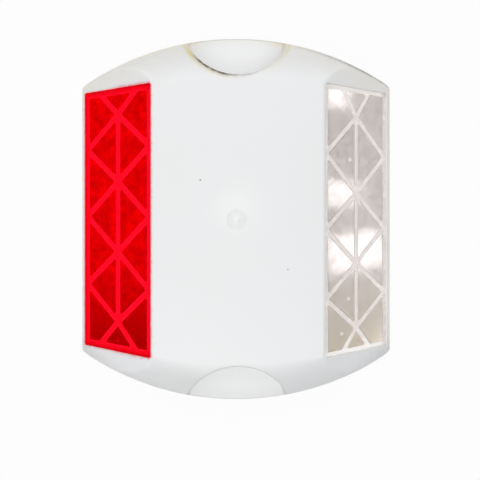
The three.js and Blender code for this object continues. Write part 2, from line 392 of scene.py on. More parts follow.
def drawn_in(corners, distance):
    """A polygon with its edges moved inwards and its corners rounded, anticlockwise."""
    ring = [np.array(c, float) for c in corners]
    area = sum(a[0] * b[1] - b[0] * a[1] for a, b in zip(ring, ring[1:] + ring[:1]))
    if area < 0:
        ring.reverse()
    loop = []
    for before, here, after in zip(ring[-1:] + ring[:-1], ring, ring[1:] + ring[:1]):
        come, go = here - before, after - here
        come, go = come / np.hypot(*come), go / np.hypot(*go)
        left_in, left_out = np.array((-come[1], come[0])), np.array((-go[1], go[0]))
        bend = math.atan2(come[0] * go[1] - come[1] * go[0], come @ go)
        middle = (left_in + left_out) / (1 + left_in @ left_out)
        centre = here + middle * (distance + CELL_CORNER)
        start = math.atan2(-left_in[1], -left_in[0])
        for step in range(CELL_CORNER_STEPS + 1):
            turn = start + bend * step / CELL_CORNER_STEPS
            loop.append(centre + CELL_CORNER * np.array((math.cos(turn), math.sin(turn))))
    return np.array(loop)


def lattice_cells(lattice):
    """The open cells of a lattice, as loops that lie half a rib inside the middles of the ribs round them."""
    upper, lower, ends = (frame - lattice["rib"] / 2 for frame in lattice["frames"])
    y = LENS_HALF_LENGTH - ends
    crossings = lattice["crossings"]
    middles = [(a + b) / 2 for a, b in zip(crossings, crossings[1:])]
    arm = lattice["end_arm"]
    cells = []
    for x in (LENS_HALF_SLOPE - lower, upper - LENS_HALF_SLOPE):
        for a, b, middle in zip(crossings, crossings[1:], middles):
            cells.append([(0, a), (x, middle), (0, b)])
        for above, below, crossing in zip(middles, middles[1:], crossings[1:]):
            cells.append([(x, above), (x, below), (0, crossing)])
        for edge, crossing, middle in ((y, crossings[0], middles[0]), (-y, crossings[-1], middles[-1])):
            cells.append([(math.copysign(arm, x), edge), (x, edge), (x, middle), (0, crossing)])
    cells.append([(-arm, y), (arm, y), (0, crossings[0])])
    cells.append([(-arm, -y), (arm, -y), (0, crossings[-1])])
    return [drawn_in(cell, lattice["rib"] / 2) for cell in cells]


def steps_to(radius):
    """Distances in from an edge at which its rounding has a line of the mesh."""
    return [radius * (1 - math.cos(turn)) for turn in np.linspace(0, math.pi / 2, ROUNDING_LINES)]


def grip_line(radius, end):
    """Points on a circle about a grip's centre that lie inside the lip."""
    turns = np.linspace(-math.pi / 2, math.pi / 2, int(math.pi * GRIP_RADIUS / GRIP_STEP))
    x, y = radius * np.sin(turns), GRIP_CENTRE - radius * np.cos(turns)
    inside = from_outline(x, y) > LIP_EDGE + GRIP_LINE_MARGIN
    return np.column_stack([x, end * y])[inside]


def staggered(step):
    """Points in a pattern of equal triangles over the whole plan of the stud."""
    points = []
    for i, y in enumerate(np.arange(-HALF_WIDTH, HALF_WIDTH, step * math.sqrt(3) / 2)):
        points += [(x, y) for x in np.arange(-HALF_LENGTH + (i % 2) * step / 2, HALF_LENGTH, step)]
    return np.array(points)


def body_shell():
    skin = Skin()
    rings = [outline_ring(run) for run in steps_to(LIP_EDGE)]
    openings = {-1: [], 1: []}
    for rise in steps_to(OPENING_EDGE)[::2]:
        plan = rounded_box(
            OPENING_HALF_SLOPE + rise, OPENING_HALF_LENGTH + rise, OPENING_CORNER + rise, OPENING_STEP
        )
        plan = plan * (math.cos(FACE_SLOPE), 1) + (FACE_X, 0)
        for side in openings:
            openings[side].append(plan * (side, 1))

    radii = [GRIP_RADIUS + rise for rise in steps_to(GRIP_EDGE)]
    radii += [GRIP_RADIUS + GRIP_EDGE + beyond for beyond in BRIM_LINES]
    radii += [GRIP_RADIUS - GRIP_WALL_RUN * share for share in GRIP_WALL_SHARES]
    radii += [GRIP_RADIUS - GRIP_WALL_RUN - run for run in steps_to(GRIP_FILLET)[1:]]
    lines = [grip_line(radius, end) for end in (-1, 1) for radius in radii]
    rows = np.arange(-CREASE_HALF, CREASE_HALF + MERGE, CREASE_STEP)
    lines += [np.array([(side * x, y) for y in rows]) for x in CREASE_LINES for side in (-1, 1)]
    turns = np.linspace(0, 2 * math.pi, GATE_POINTS + 1)[:-1]
    circle = np.column_stack([np.cos(turns), np.sin(turns)])
    circles = [radius * circle + GATE_CENTRE for radius in GATE_LINES]

    fine = staggered(FINE_STEP)
    x, y = fine[:, 0], fine[:, 1]
    crease = np.abs(end_height(x, y) - face_height(x)) < FINE_ROUND_CREASE
    wall = (from_end(x, y) < FINE_WALL) & (from_grip(x, y) > 0)
    points = np.concatenate([staggered(GRID_STEP), fine[(crease | wall) & (from_end(x, y) < FINE_END)]])
    x, y = points[:, 0], points[:, 1]
    out = from_grip(x, y)
    clear = from_outline(x, y) > LIP_EDGE + CLEAR_OF_LINE
    clear &= from_opening(x, y) > OPENING_EDGE + CLEAR_OF_OPENING
    clear &= (out > GRIP_EDGE + CLEAR_OF_BRIM) | (out < -GRIP_WALL_RUN - GRIP_FILLET - CLEAR_OF_LINE)
    beyond = np.abs(y) > CREASE_HALF + CLEAR_OF_CREASE_END
    clear &= (np.abs(np.abs(x) - CREASE_X) > CLEAR_OF_CREASE) | beyond
    clear &= from_gate(x, y) > GATE_RADIUS + CLEAR_OF_GATE
    points = np.unique(np.round(points[clear], 3), axis=0)

    loops = rings[1:] + openings[-1][1:] + openings[1][1:] + circles
    plane, faces = flat_mesh(rings[0], [openings[-1][0], openings[1][0]], loops, lines, points)
    skin.add(lifted(plane, shell_top), faces)

    levels = [lifted(rings[0], shell_top)]
    for turn in np.linspace(0, math.pi / 2, FOOT_LINES):
        run, rise = FOOT_EDGE * (1 - math.cos(turn)), FOOT_EDGE * (1 - math.sin(turn))
        levels.append(lifted(outline_ring(run), rise))
    for upper, lower in zip(levels, levels[1:]):
        skin.band(upper, lower)

    hollow = hollow_loop(0)
    plane, faces = flat_mesh(levels[-1][:, :2], [hollow])
    skin.add(lifted(plane, 0), faces, turned=True)
    skin.band(lifted(hollow, 0), lifted(hollow, hollow_height))
    plane, faces = flat_mesh(hollow, [], points=in_hollow(staggered(CEILING_STEP), CEILING_MARGIN))
    skin.add(lifted(plane, hollow_height), faces, turned=True)

    for side in (-1, 1):
        recess(skin, side, openings[side][0])
    return skin.make("stud_shell")


def in_hollow(points, margin):
    """Those of the points that lie inside the hollow by more than a margin."""
    x, y = points[:, 0], points[:, 1]
    to_end, to_grip = from_end(x, y) - SHELL_WALL, from_grip(x, y) - SHELL_WALL
    return points[np.minimum(np.minimum(HOLLOW_HALF_LENGTH - np.abs(x), to_end), to_grip) > margin]


def hollow_loop(inside):
    """The inner edge of the shell's underside, or that loop moved inwards."""
    flat = HOLLOW_HALF_LENGTH - inside
    radius = END_RADIUS - SHELL_WALL - inside
    grip = GRIP_RADIUS + SHELL_WALL + inside
    top = END_CENTRE + math.sqrt(radius**2 - flat**2)
    between = GRIP_CENTRE - END_CENTRE
    meet_y = END_CENTRE + (radius**2 - grip**2 + between**2) / (2 * between)
    meet_x = math.sqrt(radius**2 - (meet_y - END_CENTRE) ** 2)
    side = [(flat, y) for y in np.linspace(0, top, HOLLOW_SIDE_POINTS + 1)[:-1]]
    start, stop = math.atan2(top - END_CENTRE, flat), math.atan2(meet_y - END_CENTRE, meet_x)
    turns = np.linspace(start, stop, HOLLOW_END_POINTS)
    end = [(radius * math.cos(turn), END_CENTRE + radius * math.sin(turn)) for turn in turns]
    turns = np.linspace(math.atan2(meet_x, GRIP_CENTRE - meet_y), 0, HOLLOW_GRIP_POINTS)[1:]
    round_grip = [(grip * math.sin(turn), GRIP_CENTRE - grip * math.cos(turn)) for turn in turns]
    return all_round(np.array(side + end + round_grip))


def recess(skin, side, opening):
    """Walls, weld frame, ribs and cells of one lens's recess. On the red side the plan is a mirror image."""
    mirrored = side < 0
    loop = rounded_box(OPENING_HALF_SLOPE, OPENING_HALF_LENGTH, OPENING_CORNER, OPENING_STEP)
    weld = WELD_OVERLAP - LENS_THICKNESS
    skin.band(lifted(opening, shell_top), on_face(side, loop, weld), turned=not mirrored)
    cells = lattice_cells(LATTICES[side])
    plane, faces = flat_mesh(loop, cells)
    skin.add(on_face(side, plane, weld), faces, turned=mirrored)
    for cell in cells:
        upper, lower = on_face(side, cell, weld), on_face(side, cell, -CELL_DEPTH)
        skin.band(upper, lower, turned=not mirrored)
        skin.add(lower, [range(len(cell))], turned=mirrored)


shell = body_shell()


def linear(hex_colour):
    """An sRGB hex colour as the linear values that a shader takes."""
    parts = [int(hex_colour[i:i + 2], 16) / 255 for i in (1, 3, 5)]
    return tuple(p / 12.92 if p <= 0.04045 else ((p + 0.055) / 1.055) ** 2.4 for p in parts) + (1.0,)


def add_node(tree, kind, settings=None, inputs=None):
    """Adds a node, with its settings, and sets or links its inputs by name or number."""
    node = tree.nodes.new(kind)
    for name, value in (settings or {}).items():
        setattr(node, name, value)
    for name, value in (inputs or {}).items():
        if isinstance(value, bpy.types.NodeSocket):
            tree.links.new(value, node.inputs[name])
        else:
            node.inputs[name].default_value = value
    return node


def new_material(name):
    """A material with no nodes but the place that its patterns are laid by."""
    material = bpy.data.materials.new(name)
    material.use_nodes = True
    tree = material.node_tree
    tree.nodes.clear()
    return material, tree, add_node(tree, "ShaderNodeTexCoord").outputs["Object"]


def uneven(tree, place, scale, detail, least, most, low=0.0, high=1.0):
    """A value that wanders between a least and a most, in patches whose size the scale gives. It stays at the
    least where the noise is low, and at the most where it is high."""
    noise = add_node(tree, "ShaderNodeTexNoise", None, {"Vector": place, "Scale": scale, "Detail": detail})
    return add_node(tree, "ShaderNodeMapRange", None, {
        "Value": noise.outputs["Fac"], "From Min": low, "From Max": high, "To Min": least, "To Max": most,
    }).outputs["Result"]


def with_spot(tree, place, colour, centre, radii, most, tint):
    """A colour with a round spot of a tint, strongest inside the first radius and gone at the second."""
    away = add_node(tree, "ShaderNodeVectorMath", {"operation": "DISTANCE"}, {
        0: place, 1: [c * MM for c in centre],
    })
    share = add_node(tree, "ShaderNodeMapRange", None, {
        "Value": away.outputs["Value"], "From Min": radii[0] * MM, "From Max": radii[1] * MM,
        "To Min": most, "To Max": 0.0,
    })
    return add_node(tree, "ShaderNodeMix", {"data_type": "RGBA"}, {
        0: share.outputs["Result"], 6: colour.outputs[2], 7: linear(tint),
    })


def mark(piece, name, amounts):
    """Stores one number for each point of a piece, for its material to read."""
    layer = piece.data.attributes.new(name, "FLOAT", "POINT")
    layer.data.foreach_set("value", np.clip(amounts, 0, 1).astype(np.float32))


def points_of(piece):
    spots = np.empty(3 * len(piece.data.vertices))
    piece.data.vertices.foreach_get("co", spots)
    return spots.reshape(-1, 3) / MM


def near(distance, reach):
    """One at a line and fading to nothing beyond its reach."""
    return np.exp(-((distance / reach) ** 2))


# Marks on the white, painted light and painted shade among them. A table gives how strong a mark is at turns
# round a grip, in degrees from the middle of its arc, or at distances from the middle of a curved end. A width
# is how far a mark reaches from its line.
# Painted shadow with grime: the shadow of a grip's wall painted dark olive along its brim.
GRIME_SHADOW_ROUND_GRIP = (-66, -57, -48, -38, -14, 6, 25), (0, 0.15, 0.9, 1.3, 1.15, 0.5, 0.05)
GRIME_SHADOW_OTHER_GRIP = 0.06
GRIME_SHADOW_OUT = 0.15
GRIME_SHADOW_WIDTH = 0.5
GRIME_SHADOW_DOWN_WALL = 0.7
GRIME_SHADOW_ON_LEDGE = 0.4
GRIME_SHADOW_LEDGE_WIDTH = 0.3
TAN_ROUND_GRIP = (-75, -60, -48, -20, 10, 50, 70), (0.9, 0.9, 0.55, 0.3, 0, 0.25, 0.7)
TAN_OUT = 0.7
TAN_WIDTH = 0.8
TAN_ALONG_RIM = (0, 9, 13, 20, 34), (0.1, 0.15, 0.5, 0.35, 0.05)
TAN_RIM_WIDTH = 1.6
TAN_WASH = 0.17
TAN_WASH_WIDTH = 7.0
# The stain is ragged at the lens's upper edge, where two slow waves beat under a ripple, and even elsewhere.
STAIN_UPPER, STAIN_UPPER_WIDTH = 0.75, 0.28
STAIN_OTHER, STAIN_OTHER_WIDTH = 0.45, 0.25
STAIN_BEAT, STAIN_BEAT_WAVES = 0.16, (1.9, 0.83)
STAIN_RIPPLE, STAIN_RIPPLE_WAVES = 0.1, 4.7
# Distances across a weld frame are from the wall of the recess, and negative inside it.
RECESS_TOUCH = 0.01
FRAME_REACH = 1.45
# Painted light: how much brighter the white is made across a weld frame, on the grip ledges, and in a painted
# glow round the gate.
PAINTED_LIGHT_ACROSS_FRAME = (-FRAME_REACH - RECESS_TOUCH, -FRAME_REACH, -0.1), (0, 0.75, 1)
PAINTED_LIGHT_LOWER_FRAME = 0.25
PAINTED_LIGHT_GRIP = 0.45
PAINTED_LIGHT_PLUS_Y_GRIP = 0.27
PAINTED_LIGHT_GRIP_FADE = 4.0
PAINTED_GLOW_GATE = 0.4
PAINTED_GLOW_GATE_CENTRE = (-0.8, 3.0)
PAINTED_GLOW_GATE_WIDTH = 5.5
HAZE_FROM_SHARE = 0.9
# Painted shade on the lip of the +X +Y corner, on the gate's stub and step and at the foot of the -Y end's
# wall; the weld frame's grey is a scuff.
SHADE_ALONG_LIP = (14, 32), (0, 1)
SHADE_LIP_WIDTH = 0.75
SHADE_LIP_FOOT = 1.0
SHADE_LIP_RUN = 3.0
SCUFF_WELD = 0.26
SHADE_GATE = 0.11
SHADE_GATE_LINES = ((GATE_RADIUS - 0.5, 0.45), (1.0, 0.35))
SHADE_ALONG_WALL = (8, 16, 24), (0.02, 0.14, 0.24)
SHADE_WALL_WIDTH = 3.4


def turn_of(x, y):
    """The turn of points round the nearer grip, in degrees from the middle of its arc."""
    return np.degrees(np.arctan2(x, GRIP_CENTRE - np.abs(y)))


def under_brim(x, y, z):
    """One along a grip's brim, and fading down its wall."""
    return near(np.maximum(body_height(x, y) - z - GRIP_EDGE, 0), GRIME_SHADOW_DOWN_WALL)


def grime_and_shadow_on(x, y, z):
    """Dark olive on the brim of the +Y grip, a painted shadow of the grip's wall with grime in it, and round
    its ledge, with a trace at the other.
    """
    share = np.where(y > 0, np.interp(turn_of(x, y), *GRIME_SHADOW_ROUND_GRIP), GRIME_SHADOW_OTHER_GRIP)
    brim = near(from_grip(x, y) - GRIME_SHADOW_OUT, GRIME_SHADOW_WIDTH) * share * under_brim(x, y, z)
    ledge = near(from_outline(x, y), GRIME_SHADOW_LEDGE_WIDTH) * (from_grip(x, y) < 0) * (y > 0) * GRIME_SHADOW_ON_LEDGE
    return np.maximum(brim, ledge) * (z > FOOT_EDGE)


def tan_on(x, y, z):
    """A yellow tint at the +Y end: beside the painted shadow and grime, along the rim and, faintly, up the
    wall.
    """
    brim = near(from_grip(x, y) - TAN_OUT, TAN_WIDTH) * np.interp(turn_of(x, y), *TAN_ROUND_GRIP)
    brim *= under_brim(x, y, z)
    rim = near(np.maximum(from_outline(x, y), 0), TAN_RIM_WIDTH) * np.interp(np.abs(x), *TAN_ALONG_RIM)
    rim += near(np.maximum(from_end(x, y), 0), TAN_WASH_WIDTH) * TAN_WASH * (from_grip(x, y) > 0)
    return np.maximum(brim, rim) * (y > 0) * (z > FOOT_EDGE)


def stain_on(x, y, _):
    """Where red weld flash has been wiped over the edges of the red lens's opening."""
    upper = np.abs(x) < FACE_X
    slow, slower = STAIN_BEAT_WAVES
    ragged = STAIN_UPPER_WIDTH + STAIN_BEAT * np.sin(slow * y) * np.sin(slower * y + 1)
    ragged += STAIN_RIPPLE * np.sin(STAIN_RIPPLE_WAVES * y)
    spread = near(from_opening(x, y), np.where(upper, ragged, STAIN_OTHER_WIDTH))
    return spread * np.where(upper, STAIN_UPPER, STAIN_OTHER) * (x < 0)


def place_in_recess(x, y, z):
    """Where points lie in a lens's recess: down the slope, and from its wall, infinite outside the recess."""
    across, rise = np.abs(x) - FACE_X, z - FACE_Z
    along = across * math.cos(FACE_SLOPE) - rise * math.sin(FACE_SLOPE)
    out = across * math.sin(FACE_SLOPE) + rise * math.cos(FACE_SLOPE)
    to_wall = np.maximum(np.abs(along) - OPENING_HALF_SLOPE, np.abs(y) - OPENING_HALF_LENGTH)
    inside = (to_wall < RECESS_TOUCH) & (out < -RECESS_TOUCH) & (out > -CELL_DEPTH - RECESS_TOUCH)
    return along, np.where(inside, to_wall, np.inf)


def painted_light_on(x, y, z):
    """Painted light, a brighter white: all under the red lens and the frame alone under the clear one, making
    up light lost in the plates; the ledges of the grips, lifted out of their walls' shade; and a painted glow
    round the gate."""
    along, to_wall = place_in_recess(x, y, z)
    frame = np.interp(to_wall, *PAINTED_LIGHT_ACROSS_FRAME)
    frame *= np.where(along > LENS_HALF_SLOPE - FRAME_REACH, PAINTED_LIGHT_LOWER_FRAME, 1.0)
    recess = (to_wall < np.inf) * np.where(x < 0, 1.0, frame)
    grip = (from_grip(x, y) < -GRIP_WALL_RUN) * (z > 0) * np.where(y > 0, PAINTED_LIGHT_PLUS_Y_GRIP, PAINTED_LIGHT_GRIP)
    grip *= np.clip(from_outline(x, y) / PAINTED_LIGHT_GRIP_FADE, 0, 1)
    to_gate = np.hypot(x - PAINTED_GLOW_GATE_CENTRE[0], y - PAINTED_GLOW_GATE_CENTRE[1])
    gate = near(to_gate, PAINTED_GLOW_GATE_WIDTH) * (z > SHOULDER_CENTRE) * PAINTED_GLOW_GATE
    return np.maximum(np.maximum(recess, grip), gate)


def haze_on(x, y, z):
    """Weld residue greys the ribs under the clear lens."""
    under = face_height(x) - z > HAZE_FROM_SHARE * LENS_THICKNESS
    return (x > 0) * under * (from_opening(x, y) < 0) * (z > 0) * (1 - painted_light_on(x, y, z))


def scuff_and_shade_on(x, y, z):
    """Painted shade, dark grey, on the lip of the +X +Y corner, on the gate's stub and step, and at the foot
    of the
    -Y end's wall; and grey scuffs on the lower weld frame under the clear lens."""
    off_grip = from_grip(x, y) > 0
    over_wall = RIM_HEIGHT + from_end(x, y) / math.tan(WALL_DRAFT) - z
    lip = near(np.maximum(over_wall, 0), SHADE_LIP_WIDTH) * np.interp(x, *SHADE_ALONG_LIP)
    lip *= (y > STRAIGHT_HALF - SHADE_LIP_RUN) * (z > SHADE_LIP_FOOT) * off_grip
    along, to_wall = place_in_recess(x, y, z)
    weld = (x > 0) * (to_wall < np.inf) * (along > LENS_HALF_SLOPE - FRAME_REACH) * SCUFF_WELD
    round_gate = [near(from_gate(x, y) - radius, width) for radius, width in SHADE_GATE_LINES]
    gate = np.maximum(*round_gate) * (z > SHOULDER_CENTRE) * SHADE_GATE
    wall = near(np.maximum(from_end(x, y), 0), SHADE_WALL_WIDTH) * np.interp(np.abs(x), *SHADE_ALONG_WALL)
    wall *= (y < 0) * off_grip * (z > FOOT_EDGE)
    return np.maximum(np.maximum(lip, weld), np.maximum(gate, wall))


# The marks in the order in which one lies on another, each with its place and its tint.
MARKS = (
    # Painted light: a brighter white under the lenses, on the grip ledges and round the gate.
    ("painted_light", painted_light_on, "#fbfbfa"),
    ("tan", tan_on, "#dccb80"),
    # Painted shadow with grime along the brim of the +Y grip.
    ("grime_and_shadow", grime_and_shadow_on, "#493e12"),
    ("stain", stain_on, "#e8506a"),
    ("haze", haze_on, "#d9d2ce"),
    # Painted shade on the lip, the gate and the -Y wall, and scuffs on the clear lens's lower weld frame.
    ("scuff_and_shade", scuff_and_shade_on, "#6e6e70"),
)
# Dark specks of burnt plastic in the deck, as centre and radius.
SPECKS = ((-9.46, 10.1, 17.7, 0.2), (12.34, -12.16, 17.7, 0.14), (-11.28, -31.55, 17.5, 0.12))
SPECK_EDGE_SHARES = (0.6, 1.4)
CLOUD_SCALE = 1 / (22.2 * MM)
PATCH_SCALE = 1 / (1.43 * MM)
# The mould's own grain is finer, and is drawn as coarse as it needs to show.
GRAIN_SCALE = 1 / (0.385 * MM)
GRAIN_HEIGHT = 0.02


def white_abs():
    """Injection-moulded ABS: a satin white, faintly clouded and grained, with dark specks. The marks, painted
    shade and painted shadow among them, are broken into patches, and the painted light is even and brighter."""
    material, tree, place = new_material("white moulded ABS")
    rough = uneven(tree, place, CLOUD_SCALE, 3.0, 0.34, 0.46)
    clouds = uneven(tree, place, CLOUD_SCALE, 3.0, 0.0, 1.0)
    colour = add_node(tree, "ShaderNodeMix", {"data_type": "RGBA"}, {
        0: clouds, 6: linear("#eaeaea"), 7: linear("#ecedef"),
    })
    broken = uneven(tree, place, PATCH_SCALE, 4.0, 0.45, 1.0, 0.3, 0.6)
    for name, _, tint in MARKS:
        # The painted light is laid unbroken, the other marks in patches.
        amount = add_node(tree, "ShaderNodeAttribute", {"attribute_name": name})
        share = add_node(tree, "ShaderNodeMath", {"operation": "MULTIPLY"}, {
            0: amount.outputs["Fac"], 1: 1.0 if name == "painted_light" else broken,
        })
        colour = add_node(tree, "ShaderNodeMix", {"data_type": "RGBA"}, {
            0: share.outputs[0], 6: colour.outputs[2], 7: linear(tint),
        })
    for *centre, radius in SPECKS:
        radii = [radius * share for share in SPECK_EDGE_SHARES]
        colour = with_spot(tree, place, colour, centre, radii, 0.85, "#55504a")
    grain = add_node(tree, "ShaderNodeTexNoise", None, {"Vector": place, "Scale": GRAIN_SCALE, "Detail": 2.0})
    bump = add_node(tree, "ShaderNodeBump", None, {
        "Height": grain.outputs["Fac"], "Strength": 0.12, "Distance": GRAIN_HEIGHT * MM,
    })
    surface = add_node(tree, "ShaderNodeBsdfPrincipled", None, {
        "Base Color": colour.outputs[2], "Roughness": rough, "Normal": bump.outputs["Normal"], "IOR": 1.54,
    })
    add_node(tree, "ShaderNodeOutputMaterial", None, {"Surface": surface.outputs[0]})
    return material


for name, mark_on, _ in MARKS:
    mark(shell, name, mark_on(*points_of(shell).T))
shell.data.materials.append(white_abs())
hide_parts("body_shell")
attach(shell, "root")


# Prism fields. The back of each lens is moulded with cube corners, three small facets at right angles, in one
# field for each cell of the weld lattice. Sealed against a film of air they mirror light back to where it
# came from, so through the plate they look like silver foil.
CUBE_EDGE = 0.3
# Heights over the sloping face, of the cube corners' peaks and of the fields' backs.
FIELD_LEVEL = -1.34
FIELD_FLOOR = -2.36
FIELD_SLAB = 3.0
FIELD_OVERRUN = 0.5
FACET_MERGE = 0.0001


def cube_corner_tree():
    """Geometry Nodes: a sheet of cube corners, given a thickness and cut to the cells that come in."""
    tree = bpy.data.node_groups.new("cube corners in cells", "GeometryNodeTree")
    tree.interface.new_socket("Cells", in_out="INPUT", socket_type="NodeSocketGeometry")
    for name, kind in (
        ("Cube edge", "NodeSocketFloat"), ("Level", "NodeSocketFloat"), ("Slab", "NodeSocketFloat"),
        ("Columns", "NodeSocketInt"), ("Rows", "NodeSocketInt"), ("Finish", "NodeSocketMaterial"),
    ):
        tree.interface.new_socket(name, in_out="INPUT", socket_type=kind)
    tree.interface.new_socket("Fields", in_out="OUTPUT", socket_type="NodeSocketGeometry")
    given = add_node(tree, "NodeGroupInput").outputs
    size_x, size_y = (
        add_node(tree, "ShaderNodeMath", {"operation": "SUBTRACT"}, {0: given[name], 1: 1.0})
        for name in ("Columns", "Rows")
    )
    grid = add_node(tree, "GeometryNodeMeshGrid", None, {
        "Size X": size_x.outputs[0], "Size Y": size_y.outputs[0],
        "Vertices X": given["Columns"], "Vertices Y": given["Rows"],
    })
    # Grid points are whole numbers. Turned into a lattice of equal triangles, three levels that follow one
    # another along its rows make every third point a peak and every third a pit.
    spot = add_node(tree, "GeometryNodeInputPosition").outputs[0]
    along, across, order = (
        add_node(tree, "ShaderNodeVectorMath", {"operation": "DOT_PRODUCT"}, {0: spot, 1: direction})
        for direction in ((-1.0, -0.5, 0.0), (0.0, -math.sqrt(3) / 2, 0.0), (1.0, -1.0, 0.0))
    )
    whole = add_node(tree, "ShaderNodeMath", {"operation": "ROUND"}, {0: order.outputs["Value"]})
    level = add_node(tree, "ShaderNodeMath", {"operation": "FLOORED_MODULO"}, {0: whole.outputs[0], 1: 3.0})
    below = add_node(tree, "ShaderNodeMath", {"operation": "SUBTRACT"}, {0: level.outputs[0], 1: 2.0})
    lattice = add_node(tree, "ShaderNodeCombineXYZ", None, {
        0: along.outputs["Value"], 1: across.outputs["Value"], 2: below.outputs[0],
    })
    shape = add_node(tree, "ShaderNodeVectorMath", {"operation": "MULTIPLY"}, {
        0: lattice.outputs[0], 1: (math.sqrt(2 / 3), math.sqrt(2 / 3), 1 / math.sqrt(3)),
    })
    sized = add_node(tree, "ShaderNodeVectorMath", {"operation": "SCALE"}, {
        0: shape.outputs["Vector"], "Scale": given["Cube edge"],
    })
    drop = add_node(tree, "ShaderNodeMath", {"operation": "SUBTRACT"}, {0: given["Level"], 1: given["Slab"]})
    base = add_node(tree, "ShaderNodeCombineXYZ", None, {2: drop.outputs[0]})
    corner = add_node(tree, "ShaderNodeVectorMath", {"operation": "ADD"}, {
        0: sized.outputs["Vector"], 1: base.outputs[0],
    })
    sheet = add_node(tree, "GeometryNodeSetPosition", None, {
        "Geometry": grid.outputs["Mesh"], "Position": corner.outputs["Vector"],
    })
    facets = add_node(tree, "GeometryNodeTriangulate", {"quad_method": "FIXED_ALTERNATE"}, {
        0: sheet.outputs[0],
    })
    up = add_node(tree, "ShaderNodeCombineXYZ", None, {2: 1.0})
    raised = add_node(tree, "GeometryNodeExtrudeMesh", None, {
        "Mesh": facets.outputs[0], "Offset": up.outputs[0], "Offset Scale": given["Slab"],
        "Individual": False,
    })
    under = add_node(tree, "GeometryNodeFlipFaces", None, {0: facets.outputs[0]})
    joined = add_node(tree, "GeometryNodeJoinGeometry")
    tree.links.new(under.outputs[0], joined.inputs[0])
    tree.links.new(raised.outputs[0], joined.inputs[0])
    slab = add_node(tree, "GeometryNodeMergeByDistance", None, {
        0: joined.outputs[0], "Distance": FACET_MERGE * MM,
    })
    cut = add_node(tree, "GeometryNodeMeshBoolean", {"operation": "INTERSECT", "solver": "MANIFOLD"})
    tree.links.new(slab.outputs[0], cut.inputs["Mesh 2"])
    tree.links.new(given["Cells"], cut.inputs["Mesh 2"])
    real = add_node(tree, "GeometryNodeRealizeInstances", None, {0: cut.outputs["Mesh"]})
    painted = add_node(tree, "GeometryNodeSetMaterial", None, {
        "Geometry": real.outputs[0], "Material": given["Finish"],
    })
    add_node(tree, "NodeGroupOutput", None, {0: painted.outputs[0]})
    return tree


def run_tree(piece, tree, values):
    """Puts a node tree on a piece with its inputs set, and keeps the result as the piece's own plain mesh."""
    modifier = piece.modifiers.new(tree.name, "NODES")
    modifier.node_group = tree
    for item in tree.interface.items_tree:
        if item.name in values:
            modifier[item.identifier] = values[item.name]
    graph = bpy.context.evaluated_depsgraph_get()
    mesh = bpy.data.meshes.new_from_object(piece.evaluated_get(graph))
    piece.modifiers.clear()
    piece.data = mesh


def prism_fields(name, side, material):
    """One closed block of cube corners for each cell, made lying flat and then laid on its sloping face."""
    skin = Skin()
    for loop in lattice_cells(LATTICES[side]):
        upper, lower = lifted(loop, FIELD_LEVEL + FIELD_OVERRUN), lifted(loop, FIELD_FLOOR)
        skin.band(upper, lower)
        skin.add(upper, [range(len(loop))])
        skin.add(lower, [range(len(loop))], turned=True)
    piece = skin.make(name)
    step = CUBE_EDGE * math.sqrt(2 / 3)
    rows = 2 * round(LENS_HALF_LENGTH / (step * math.sqrt(3) / 2)) + 1
    columns = 2 * round(LENS_HALF_SLOPE / step) + rows // 2 + 1
    run_tree(piece, cube_corner_tree(), {
        "Cube edge": CUBE_EDGE * MM, "Level": FIELD_LEVEL * MM, "Slab": FIELD_SLAB * MM,
        "Columns": columns, "Rows": rows, "Finish": material,
    })
    for vertex in piece.data.vertices:
        vertex.co = on_face(side, [(vertex.co.x / MM, vertex.co.y / MM)], vertex.co.z / MM)[0] * MM
    if side < 0:
        piece.data.flip_normals()
    return piece


# Where bubbles touch the prisms on each side, and how far from its middle a bubble starts and ends to fade.
BUBBLES = {
    -1: [(-26.7, 29.0, 11.8), (-31.1, -31.8, 8.7)],
    1: [(29.2, 15.7, 10.1), (28.7, -20.6, 10.4), (26.6, -29.4, 11.9)],
}
BUBBLE_RADII = (0.2, 0.7)
AGED_FROM_Y = -12.0
AGED_TO_Y = -34.0
HAZE_SCALE = 1 / (8.33 * MM)
DULL_SCALE = 1 / (2.38 * MM)


def prism_foil(name, bright, dull, aged, bubbles):
    """Air-backed cube corners: mirror-like facets, slightly hazed by the mould's own finish and duller in
    patches. Towards the -Y end they have aged to another tint, and where a bubble touches them they shine."""
    material, tree, place = new_material(name)
    rough = uneven(tree, place, HAZE_SCALE, 3.0, 0.03, 0.09)
    patches = uneven(tree, place, DULL_SCALE, 5.0, 0.0, 1.0, 0.35, 0.65)
    colour = add_node(tree, "ShaderNodeMix", {"data_type": "RGBA"}, {
        0: patches, 6: linear(bright), 7: linear(dull),
    })
    along = add_node(tree, "ShaderNodeSeparateXYZ", None, {0: place})
    share = add_node(tree, "ShaderNodeMapRange", None, {
        "Value": along.outputs["Y"], "From Min": AGED_FROM_Y * MM, "From Max": AGED_TO_Y * MM,
        "To Min": 0.0, "To Max": 1.0,
    })
    colour = add_node(tree, "ShaderNodeMix", {"data_type": "RGBA"}, {
        0: share.outputs["Result"], 6: colour.outputs[2], 7: linear(aged),
    })
    for centre in bubbles:
        colour = with_spot(tree, place, colour, centre, BUBBLE_RADII, 0.75, "#fafafa")
    surface = add_node(tree, "ShaderNodeBsdfPrincipled", None, {
        "Base Color": colour.outputs[2], "Metallic": 1.0, "Roughness": rough,
    })
    add_node(tree, "ShaderNodeOutputMaterial", None, {"Surface": surface.outputs[0]})
    return material


